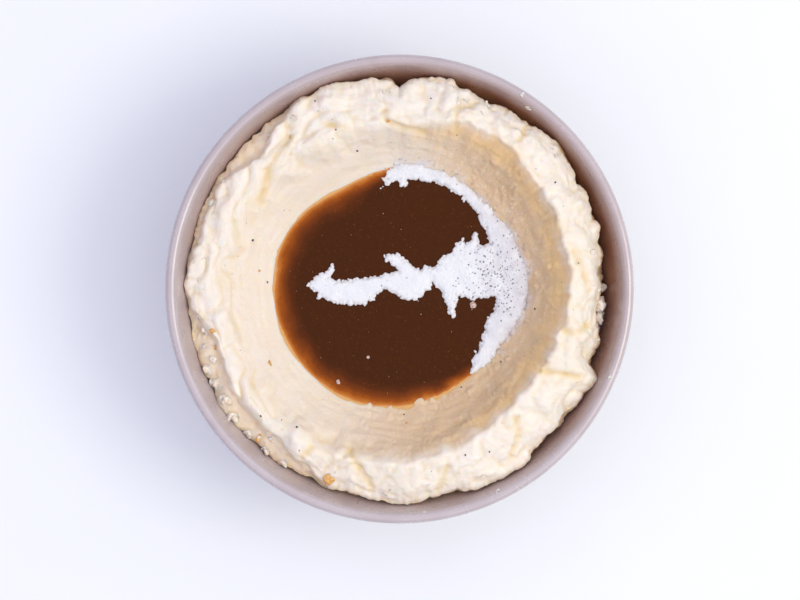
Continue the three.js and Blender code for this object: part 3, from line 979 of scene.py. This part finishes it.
class POTATO_OT_bowl(bpy.types.Operator):
    """Turn the glazed bowl with its lip and foot ring"""

    bl_idname = "potato.bowl"
    bl_label = "Bowl"

    def execute(self, context):
        settings = context.scene.potato_bowl
        degrees = directions(BOWL_SECTORS)
        inside = wall_points(np.linspace(0, 1, 56) ** 0.75, 1)
        inside[0, 0] = 0
        tilt = math.atan2(*(inside[-1] - LIP_CENTRE)[::-1])
        turn = np.linspace(tilt, tilt - math.pi, 18)[1:-1]
        lip = LIP_CENTRE + LIP * np.stack([np.cos(turn), np.sin(turn)], -1)
        above_foot = 0.02 + (FOOT_OUTER + 1.4 * MM) / LIP_CENTRE[0]
        outside = wall_points(np.linspace(1, above_foot, 44), -1)
        foot = self.foot(outside[-1])
        centre = np.array([[20 * MM, FOOT_RECESS], [8 * MM, FOOT_RECESS], [0, FOOT_RECESS]])
        profile = np.vstack([inside, lip, outside, foot, centre])
        r, z = profile[:, :1], profile[:, 1:2]
        high = smoothstep(0.4, 1, z / RIM_HEIGHT)
        drift = settings.wobble * ripple(degrees, 30 * MM, 24 * MM, 2.0)[None] * high
        rings = polar(r + drift, degrees[None] + 0 * drift, z + 0.6 * drift)
        # painted shade and a painted brown reflection of the mash lie on the inner face and part
        # of the lip
        inner = np.zeros((len(profile), 1))
        inner[:len(inside)] = 1
        over_lip = np.linspace(1.4, -0.9, len(lip)).clip(0, 1)
        inner[len(inside):len(inside) + len(lip)] = over_lip[:, None]
        # strongest on the side whose inner wall turns away from the light; film is the painted
        # shade and brown reflection near the mash, shade the painted shade higher up
        toward_shaded_side = 0.5 + 0.5 * np.cos(np.radians(degrees - SHADED_WALL_SIDE))
        film = 1 - smoothstep(46, 53, rings[..., 2] / MM + 1.2 * clouds(rings, 6, 9.0))
        shade = 0.32 * toward_shaded_side ** 1.5 * (1 - film)
        damp = {"damp": inner * (film * (0.08 + 0.84 * toward_shaded_side) + shade)}
        piece = turned("glazed_bowl", rings, glaze_material(settings), damp)
        finish_piece(piece, "glaze", "bowl")
        return {"FINISHED"}

    def foot(self, start):
        """Section of the foot ring and the recess in it, from the outer wall's end."""
        line = track([
            start, (FOOT_OUTER + 0.6 * MM, 4.4 * MM), (FOOT_OUTER + 0.1 * MM, 1.6 * MM),
            (FOOT_OUTER - 0.2 * MM, 0.5 * MM), (FOOT_OUTER - 1 * MM, 0),
            (FOOT_INNER + 0.9 * MM, 0), (FOOT_INNER + 0.2 * MM, 0.5 * MM),
            (FOOT_INNER - 0.6 * MM, 2 * MM), (FOOT_INNER - 2 * MM, FOOT_RECESS),
            (FOOT_INNER - 5 * MM, FOOT_RECESS)], 0.35 * MM)[1:]
        line[:, 1] = np.maximum(line[:, 1], 0)
        return line


class POTATO_OT_mash(bpy.types.Operator):
    """Shape the ring of mash with its hollow, lumps, creases and spoon streaks"""

    bl_idname = "potato.mash"
    bl_label = "Mash"

    def execute(self, context):
        settings = context.scene.potato_mash
        finish_piece(build_mash(settings, mash_material(settings)), "mash", "mashed_potato")
        return {"FINISHED"}


class POTATO_OT_gravy(bpy.types.Operator):
    """Fill the hollow with gravy up to its level"""

    bl_idname = "potato.gravy"
    bl_label = "Gravy"

    def execute(self, context):
        settings = context.scene.potato_gravy
        degrees = directions(GRAVY_SECTORS)
        s = mash_sections(degrees)
        shares = 1 - (1 - np.linspace(0, 1, 58)) ** 1.35
        margin = around(GRAVY_MARGIN, degrees)
        overlap = (0.3 + 1.3 * smoothstep(3, 6, margin)) * MM
        radii = shares[:, None] * (s["shore"] + overlap)[None]
        inland = (s["shore"] - radii) / MM
        level = POOL_LEVEL + settings.meniscus * np.exp(-np.maximum(inland, 0) / 0.5)
        top = polar(radii, degrees[None] + 0 * radii, level)
        top[..., 2] += 0.03 * MM * clouds(top, 5, 3.0)
        bed = np.array([top_height(r, s) for r in radii])
        uneven = 1.3 * clouds(top, 5, 6.0) + 0.35 * clouds(top, 0.9, 16.0)
        covered = POOL_LEVEL - bed > 0
        depth = (np.maximum(inland, 0.3 * covered) + uneven * smoothstep(-0.5, 2, inland)) / margin
        # the underside follows the mash just below it, with every sixth ring
        low_radii = radii[::-6][:-1]
        low_z = np.array([top_height(r, s) for r in low_radii]) - 0.5 * MM
        low_z = np.minimum(low_z, POOL_LEVEL - 0.4 * MM)
        floor = np.full((1, GRAVY_SECTORS), POOL_LEVEL - POOL_DEPTH - 0.3 * MM)
        low_radii = np.vstack([low_radii, 0 * floor])
        bottom = polar(low_radii, degrees[None] + 0 * low_radii, np.vstack([low_z, floor]))
        rings = np.vstack([top, bottom])
        share = np.clip(np.vstack([depth, np.zeros(bottom.shape[:2])]), 0, 1)
        piece = turned("gravy_pool", rings, gravy_material(settings), {"depth": share})
        finish_piece(piece, "gravy", "gravy")
        return {"FINISHED"}


def cream_lines():
    """Dense points of x, y and half width that cover the whole streak."""
    arc = np.array([
        (*polar(r, a, 0.0)[:2], width) for a, r, width in CREAM_ARC])
    return np.vstack([track(line, 0.5) for line in [arc, *CREAM_STROKES]]) * MM


def froth_distance(xy):
    """Signed distance to the streak's edge, less than 0 inside, with its feathers."""
    lines = cream_lines()
    flat = xy.reshape(-1, 2)
    distance = np.full(len(flat), 1.0)
    for x, y, width in lines:
        distance = np.minimum(distance, np.hypot(flat[:, 0] - x, flat[:, 1] - y) - width)
    distance = distance.reshape(xy.shape[:-1])
    close = np.abs(distance) < 2.5 * MM
    place = grounded(xy)[close]
    for reach, size, shift in ((0.75, 1.9, 3.3), (0.6, 0.9, 5.1), (0.22, 0.45, 8.7)):
        distance[close] += reach * MM * field(plain, place, size * MM, shift)
    return distance


def corners(grid):
    """A grid's values at the four corners of each of its cells."""
    return grid[:-1, :-1], grid[1:, :-1], grid[1:, 1:], grid[:-1, 1:]


class POTATO_OT_cream(bpy.types.Operator):
    """Lay the streak of froth with its ragged edge and open bubbles"""

    bl_idname = "potato.cream"
    bl_label = "Cream"

    def execute(self, context):
        settings = context.scene.potato_cream
        cell = settings.cell
        low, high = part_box("cream")
        margin = 1.2 * MM
        xs = np.arange(low.x - margin, high.x + margin, cell)
        ys = np.arange(low.y - margin, high.y + margin, cell)
        xy = np.stack(np.meshgrid(xs, ys, indexing="ij"), -1)
        distance = froth_distance(xy)
        inside = distance < 0
        place = grounded(xy)[inside]
        thickness = CREAM_TOP - POOL_LEVEL - 0.35 * MM
        swell = np.zeros(distance.shape)
        swell[inside] = clouds(place, 4, 2.2)
        deep = np.maximum(-distance, 0)
        height = thickness * (1 - np.exp(-deep / (0.7 * MM))) * (0.8 + 0.35 * swell)
        pit = np.zeros(distance.shape)
        rng = np.random.default_rng(SEED)
        for _ in range(settings.pits):
            if rng.random() < BUBBLY_SHARE:
                x, y = rng.normal(*BUBBLY_SPREAD) * MM
            else:
                x, y = rng.uniform(*STREAK_REACH) * MM
            radius = (0.10 + 0.2 * rng.random() ** 2) * MM
            i, j = int((x - xs[0]) / cell), int((y - ys[0]) / cell)
            n = int(2 * radius / cell) + 2
            window = (slice(max(i - n, 0), i + n + 1), slice(max(j - n, 0), j + n + 1))
            away = np.hypot(xy[window][..., 0] - x, xy[window][..., 1] - y)
            bowl = np.clip(1 - (away / radius) ** 2, 0, 1)
            height[window] -= 0.9 * radius * np.sqrt(bowl)
            pit[window] = np.maximum(pit[window], 1 - smoothstep(0.5, 1.15, away / radius))
        height[inside] += 0.09 * MM * (clouds(place, 0.9, 6.6) + 0.6 * clouds(place, 0.45, 9.6))
        height = np.maximum(height, 0.12 * MM)
        piece = self.sheet(xy, distance, POOL_LEVEL + height, POOL_LEVEL - 0.2 * MM, pit, settings)
        finish_piece(piece, "cream", "cream")
        return {"FINISHED"}

    def sheet(self, xy, distance, top, bottom, pit, settings):
        """Closed mesh over the grid's cells that lie inside the edge."""
        a, b, c, d = corners(distance < 0)
        used = a & b & c & d
        # no two cells may touch at a corner only
        for _ in range(6):
            a, b, c, d = corners(used)
            first = a & c & ~b & ~d
            second = b & d & ~a & ~c
            used[:-1, :-1][first] = False
            used[1:, :-1][second] = False
        slope = np.stack(np.gradient(distance, settings.cell), -1)
        slope /= np.maximum(np.linalg.norm(slope, axis=-1, keepdims=True), 1e-9)
        a, b, c, d = corners(np.pad(used, 1))
        some = a | b | c | d
        shore = some & ~(a & b & c & d)
        reach = np.clip(-distance, 0, 0.9 * settings.cell)
        at = xy + np.where(shore, reach, 0)[..., None] * slope
        index = np.cumsum(some.ravel()).reshape(some.shape) - 1
        keep = some.ravel()
        points = np.concatenate([at, top[..., None]], -1).reshape(-1, 3)[keep]
        count = len(points)
        lower = points.copy()
        lower[:, 2] = bottom
        i, j = np.nonzero(used)
        quads = np.stack([index[i, j], index[i + 1, j], index[i + 1, j + 1], index[i, j + 1]], -1)
        edges = np.concatenate([quads[:, [k, (k + 1) % 4]] for k in range(4)])
        forward = edges[:, 0] * count + edges[:, 1]
        backward = edges[:, 1] * count + edges[:, 0]
        border = edges[~np.isin(forward, backward)]
        start, end = border.T
        sides = np.stack([start, start + count, end + count, end], -1)
        faces = np.vstack([quads, quads[:, ::-1] + count, sides]).tolist()
        shallow = np.exp(np.minimum(distance, 0) / (0.5 * MM)).ravel()[keep]
        # loose: partly looser froth, partly painted shade on the right side and the outer arc
        outer = smoothstep(33, 39, np.hypot(points[:, 0], points[:, 1]) / MM)
        loose = 0.5 * smoothstep(18, 33, points[:, 0] / MM) + 0.35 * outer
        loose *= 0.6 + 0.7 * clouds(points, 2.6, 11.0)
        attributes = {
            "loose": np.concatenate([loose, loose]),
            "pit": np.concatenate([pit.ravel()[keep], np.zeros(count)]),
            "thin": np.concatenate([shallow, np.ones(count)]),
        }
        material = froth_material(settings)
        return new_object("cream_froth", np.vstack([points, lower]), faces, material, attributes)


def grain_tree():
    """Geometry nodes: an uneven grain on every point, a ball one unit across that
    the point's own attributes size and turn, made real and given its material."""
    tree = bpy.data.node_groups.new("grains", "GeometryNodeTree")
    face = tree.interface
    for name, kind in (("Points", "Geometry"), ("Detail", "Int"), ("Unevenness", "Float"),
                       ("Feature size", "Float"), ("Seed", "Float"), ("Material", "Material")):
        face.new_socket(name=name, in_out="INPUT", socket_type="NodeSocket" + kind)
    face.new_socket(name="Grains", in_out="OUTPUT", socket_type="NodeSocketGeometry")
    g = Graph(tree)
    given = tree.nodes.new("NodeGroupInput")
    entry = {socket.name: Value(g, socket) for socket in given.outputs if socket.name}
    ball = g.node(
        "GeometryNodeMeshIcoSphere", sockets={"Radius": 0.5, "Subdivisions": entry["Detail"]})
    vector = {"data_type": "FLOAT_VECTOR"}
    size = g.node("GeometryNodeInputNamedAttribute", vector, {"Name": "size"})
    turn = g.node("GeometryNodeInputNamedAttribute", vector, {"Name": "turn"})
    grains = g.node("GeometryNodeInstanceOnPoints", sockets={
        "Points": entry["Points"], "Instance": ball, "Rotation": turn, "Scale": size})
    real = g.node("GeometryNodeRealizeInstances", sockets={"Geometry": grains})
    place = g.node("GeometryNodeInputPosition")

    def vector_math(operation, *operands, **named):
        settings = {"operation": operation}
        return g.node("ShaderNodeVectorMath", settings, {**dict(enumerate(operands)), **named})

    finer = vector_math("DIVIDE", place, entry["Feature size"])
    sockets = {"Vector": finer, "W": entry["Seed"], "Scale": 1.0, "Detail": 2.0}
    cloud = g.node("ShaderNodeTexNoise", {"noise_dimensions": "4D"}, sockets, output="Color")
    centred = vector_math("SUBTRACT", cloud, (0.5, 0.5, 0.5))
    offset = vector_math("SCALE", centred, Scale=entry["Unevenness"])
    bent = g.node("GeometryNodeSetPosition", sockets={"Geometry": real, "Offset": offset})
    smooth = g.node("GeometryNodeSetShadeSmooth", sockets={"Geometry": bent})
    done = g.node(
        "GeometryNodeSetMaterial", sockets={"Geometry": smooth, "Material": entry["Material"]})
    g.node("NodeGroupOutput", sockets={"Grains": done})
    return tree


def grains(name, slot, strewn, material, detail, unevenness, feature, seed):
    """One mesh piece with a grain on each strewn place, by way of the node tree."""
    places, sizes, turns = strewn
    mesh = bpy.data.meshes.new(name + "_points")
    mesh.from_pydata(np.asarray(places, float).tolist(), [], [])
    for key, values in (("size", sizes), ("turn", turns)):
        attribute = mesh.attributes.new(key, "FLOAT_VECTOR", "POINT")
        attribute.data.foreach_set("vector", np.asarray(values, np.float32).ravel())
    carrier = linked(name + "_points", mesh)
    tree = bpy.data.node_groups.get("grains") or grain_tree()
    modifier = carrier.modifiers.new("grains", "NODES")
    modifier.node_group = tree
    wanted = {"Detail": detail, "Unevenness": unevenness * MM, "Feature size": feature * MM,
              "Seed": seed, "Material": material}
    for item in tree.interface.items_tree:
        if item.in_out == "INPUT" and item.name in wanted:
            modifier[item.identifier] = wanted[item.name]
    carrier.data.update()
    bpy.context.view_layer.update()
    evaluated = carrier.evaluated_get(bpy.context.evaluated_depsgraph_get())
    real = bpy.data.meshes.new_from_object(evaluated)
    carrier.modifiers.remove(modifier)
    bpy.data.objects.remove(carrier)
    real.name = name
    finish_piece(linked(name, real), slot)


def surface(name):
    """A function that drops a point straight down on to a finished piece."""
    piece = bpy.data.objects[name]
    vertices = [v.co.copy() for v in piece.data.vertices]
    tree = BVHTree.FromPolygons(vertices, [tuple(p.vertices) for p in piece.data.polygons])

    def drop(x, y):
        hit, normal, _, _ = tree.ray_cast(Vector((x, y, DROP_HEIGHT)), Vector((0, 0, -1)))
        return (hit, normal) if hit else (None, None)

    return drop


def strew(drop, spots, flatness, rng, sink=0.2, spread=0.25):
    """Places, sizes and turns of flat grains that lie on a surface."""
    places, sizes, turns = [], [], []
    for x, y, across in spots:
        hit, normal = drop(x, y)
        if hit is None:
            continue
        length, width = rng.uniform(1 - spread, 1 + spread, 2) * across
        thick = across * flatness * rng.uniform(0.8, 1.2)
        turn = normal.to_track_quat("Z", "Y").to_euler()
        turn.rotate_axis("Z", rng.uniform(0, 2 * math.pi))
        places.append(hit + normal * thick * (0.5 - sink))
        sizes.append((length, width, thick))
        turns.append(tuple(turn))
    return places, sizes, turns


def in_metres(spots, share=1):
    """Places and sizes in metres, with the sizes scaled by a share."""
    return [(x * MM, y * MM, share * size * MM) for x, y, size in spots]


def spot(angle, radius, across):
    """A place by its direction in radians and its radius, and a size across."""
    return radius * math.cos(angle), radius * math.sin(angle), across


class POTATO_OT_specks(bpy.types.Operator):
    """Scatter the pepper, the browned bits and the bits that float on the gravy"""

    bl_idname = "potato.specks"
    bl_label = "Specks"

    def execute(self, context):
        settings = context.scene.potato_specks
        rng = np.random.default_rng(SEED + 1)
        mash = surface("mash_mound")
        pepper = in_metres(PEPPER, PEPPER_SHARE)
        for _ in range(settings.dust):
            radius, angle = rng.uniform(40, 61) * MM, rng.uniform(0, TURN)
            pepper.append(spot(angle, radius, rng.uniform(0.14, 0.27) * MM))
        dark = grain_material("pepper", settings.pepper, PEPPER_LIGHT, 0.4 * MM)
        strewn = strew(mash, pepper, 0.45, rng)
        grains("pepper_specks", "mash", strewn, dark, 2, 0.22, 0.3, 1.0)

        brown = grain_material(
            "browned_potato", settings.fleck, FLECK_LIGHT, 0.9 * MM, 0.45,
            Subsurface_Weight=0.3, Subsurface_Scale=1 * MM)
        strewn = strew(mash, in_metres(FLECKS), 0.3, rng, 0.4, 0.45)
        grains("browned_flecks", "mash", strewn, brown, 3, 1.6, 1.1, 2.0)

        bits = in_metres(GRAVY_BITS)
        for _ in range(BITS_AFLOAT):
            radius, angle = 35 * MM * math.sqrt(rng.random()), rng.uniform(0, TURN)
            bits.append(spot(angle, radius, rng.uniform(0.1, 0.22) * MM))
        pale = grain_material("floating_bits", *BIT_SHADES, 0.5 * MM)
        strewn = strew(surface("gravy_pool"), bits, 0.4, rng, 0.3, 0.4)
        grains("gravy_bits", "gravy", strewn, pale, 2, 0.8, 0.5, 3.0)
        return {"FINISHED"}


class POTATO_OT_crumbs(bpy.types.Operator):
    """Drop the loose crumbs of mash in the gap and on the bowl's lip"""

    bl_idname = "potato.crumbs"
    bl_label = "Crumbs"

    def execute(self, context):
        settings = context.scene.potato_mash
        rng = np.random.default_rng(SEED + 2)
        material = grain_material(
            "crumb", settings.fluffy, CRUMB_SHADE, 1.2 * MM, 0.5, IOR=1.42,
            Subsurface_Weight=0.5, Subsurface_Radius=(1.0, 0.62, 0.3), Subsurface_Scale=1.5 * MM)
        bowl = surface("glazed_bowl")
        mash = surface("mash_mound")
        on_lip = strew(bowl, in_metres(LIP_CRUMBS), 0.4, rng, 0.4, 0.4)
        lumps = strew(mash, in_metres(LEDGE_CRUMBS), 0.6, rng, 0.45, 0.4)
        for angle, radius, height, size in GAP_CRUMBS:
            place = polar(np.array(radius * MM), angle, height * MM)
            lumps[0].append(Vector(place))
            lumps[1].append(tuple(size * MM * rng.uniform(0.6, 1.3, 3)))
            lumps[2].append(tuple(rng.uniform(0, math.pi, 3)))
        fallen = []
        for _ in range(CRUMBS_FALLEN):
            angle, radius = rng.uniform(0, TURN), rng.uniform(57, 62.5) * MM
            fallen.append(spot(angle, radius, rng.uniform(0.5, 1.3) * MM))
        loose = strew(mash, fallen, 0.6, rng, 0.45, 0.4)
        together = [a + b + c for a, b, c in zip(on_lip, lumps, loose)]
        grains("mash_crumbs", "mash", together, material, 3, 4.5, 1.7, 4.0)
        return {"FINISHED"}


class POTATO_OT_bubbles(bpy.types.Operator):
    """Set the small bubbles that cling to the mash along the froth"""

    bl_idname = "potato.bubbles"
    bl_label = "Bubbles"

    def execute(self, context):
        settings = context.scene.potato_specks
        rng = np.random.default_rng(SEED + 3)
        angle = np.radians(rng.uniform(-42, 100, settings.bubbles))
        radius = rng.uniform(33, 43, settings.bubbles) * MM
        xy = np.stack([radius * np.cos(angle), radius * np.sin(angle)], -1)
        distance = froth_distance(xy)
        near = (distance > -0.2 * MM) & (distance < 1.6 * MM) & (radius > 35 * MM)
        spots = [(x, y, rng.uniform(0.22, 0.6) * MM) for x, y in xy[near]]
        material = grain_material(
            "bubble_film", *BUBBLE_SHADES, 0.4 * MM, 0.25, IOR=1.33, Transmission_Weight=0.35)
        strewn = strew(surface("mash_mound"), spots, 0.7, rng, 0.4)
        grains("froth_bubbles", "cream", strewn, material, 2, 0.05, 0.5, 5.0)
        return {"FINISHED"}


class POTATO_OT_stage(bpy.types.Operator):
    """Set the floor, the soft light and the camera"""

    bl_idname = "potato.stage"
    bl_label = "Stage"

    def execute(self, context):
        scene = context.scene
        settings = scene.potato_stage
        square = [(-1, -1, 0), (1, -1, 0), (1, 1, 0), (-1, 1, 0)]
        points = FLOOR_HALF * np.array(square)
        floor = new_object("floor", points, [(0, 1, 2, 3)], floor_material(settings))
        self.light(settings)
        self.world(scene, settings)
        self.camera(scene, settings)
        scene.view_settings.view_transform = "Standard"
        return {"FINISHED"}

    def light(self, settings):
        data = bpy.data.lights.new("key", "AREA")
        data.shape = "DISK"
        data.size = KEY_SIZE
        data.energy = settings.key
        data.color = KEY_TINT
        lamp = linked("key", data)
        lamp.location = Vector(TO_WINDOW) * KEY_DISTANCE
        direction = Vector((0, 0, RIM_HEIGHT)) - lamp.location
        lamp.rotation_euler = direction.to_track_quat("-Z", "Y").to_euler()

    def world(self, scene, settings):
        world = bpy.data.worlds.new("soft_room")
        world.use_nodes = True
        world.node_tree.nodes.clear()
        g = Graph(world.node_tree)
        toward = g.node("ShaderNodeTexCoord", output="Generated")
        up = g.node("ShaderNodeSeparateXYZ", sockets={0: toward}, output="Z")
        height = up.math("MAXIMUM", up, 0.0)
        # little light comes from right overhead
        shaded = 1 - up.between(0.965, 0.99) * 0.85
        facing = g.node(
            "ShaderNodeVectorMath", {"operation": "DOT_PRODUCT"}, {0: toward, 1: TO_WINDOW},
            output="Value")
        lobe = facing.math("MAXIMUM", facing, 0.0) ** 6 * shaded
        strength = (0.17 + height ** 1.5) * settings.fill * shaded
        room = g.node("ShaderNodeBackground", sockets={"Color": ROOM_TINT, "Strength": strength})
        window = g.node("ShaderNodeBackground", sockets={
            "Color": WINDOW_TINT, "Strength": lobe * settings.sky})
        both = g.node("ShaderNodeAddShader", sockets={0: room, 1: window})
        g.node("ShaderNodeOutputWorld", sockets={"Surface": both})
        scene.world = world

    def camera(self, scene, settings):
        data = bpy.data.cameras.new("camera")
        data.lens = settings.lens
        data.sensor_width = SENSOR_WIDTH
        camera = linked("camera", data)
        away = settings.lens / data.sensor_width * VIEW_WIDTH
        camera.location = (*VIEW_CENTRE, RIM_HEIGHT + away)
        scene.camera = camera


class POTATO_PT_panel(bpy.types.Panel):
    """Steps that make the side of mashed potato"""

    bl_label = "Mashed potato side"
    bl_idname = "POTATO_PT_panel"
    bl_space_type = "VIEW_3D"
    bl_region_type = "UI"
    bl_category = "Potato"

    def draw(self, context):
        for group in SETTINGS:
            settings = getattr(context.scene, group)
            box = self.layout.box()
            for name in settings.__annotations__:
                box.prop(settings, name)
        for operator in STEPS:
            self.layout.operator(operator.bl_idname)


SETTINGS = {
    "potato_bowl": BowlSettings,
    "potato_mash": MashSettings,
    "potato_gravy": GravySettings,
    "potato_cream": CreamSettings,
    "potato_specks": SpeckSettings,
    "potato_stage": StageSettings,
}
STEPS = [
    POTATO_OT_stage, POTATO_OT_bowl, POTATO_OT_mash, POTATO_OT_gravy, POTATO_OT_cream,
    POTATO_OT_specks, POTATO_OT_crumbs, POTATO_OT_bubbles,
]


def register():
    for group, kind in SETTINGS.items():
        bpy.utils.register_class(kind)
        setattr(bpy.types.Scene, group, bpy.props.PointerProperty(type=kind))
    for kind in [*STEPS, POTATO_PT_panel]:
        bpy.utils.register_class(kind)


def unregister():
    for kind in [POTATO_PT_panel, *reversed(STEPS)]:
        bpy.utils.unregister_class(kind)
    for group, kind in reversed(SETTINGS.items()):
        delattr(bpy.types.Scene, group)
        bpy.utils.unregister_class(kind)


def main():
    register()
    for step in STEPS:
        group, name = step.bl_idname.split(".")
        getattr(getattr(bpy.ops, group), name)()


if __name__ == "__main__":
    main()
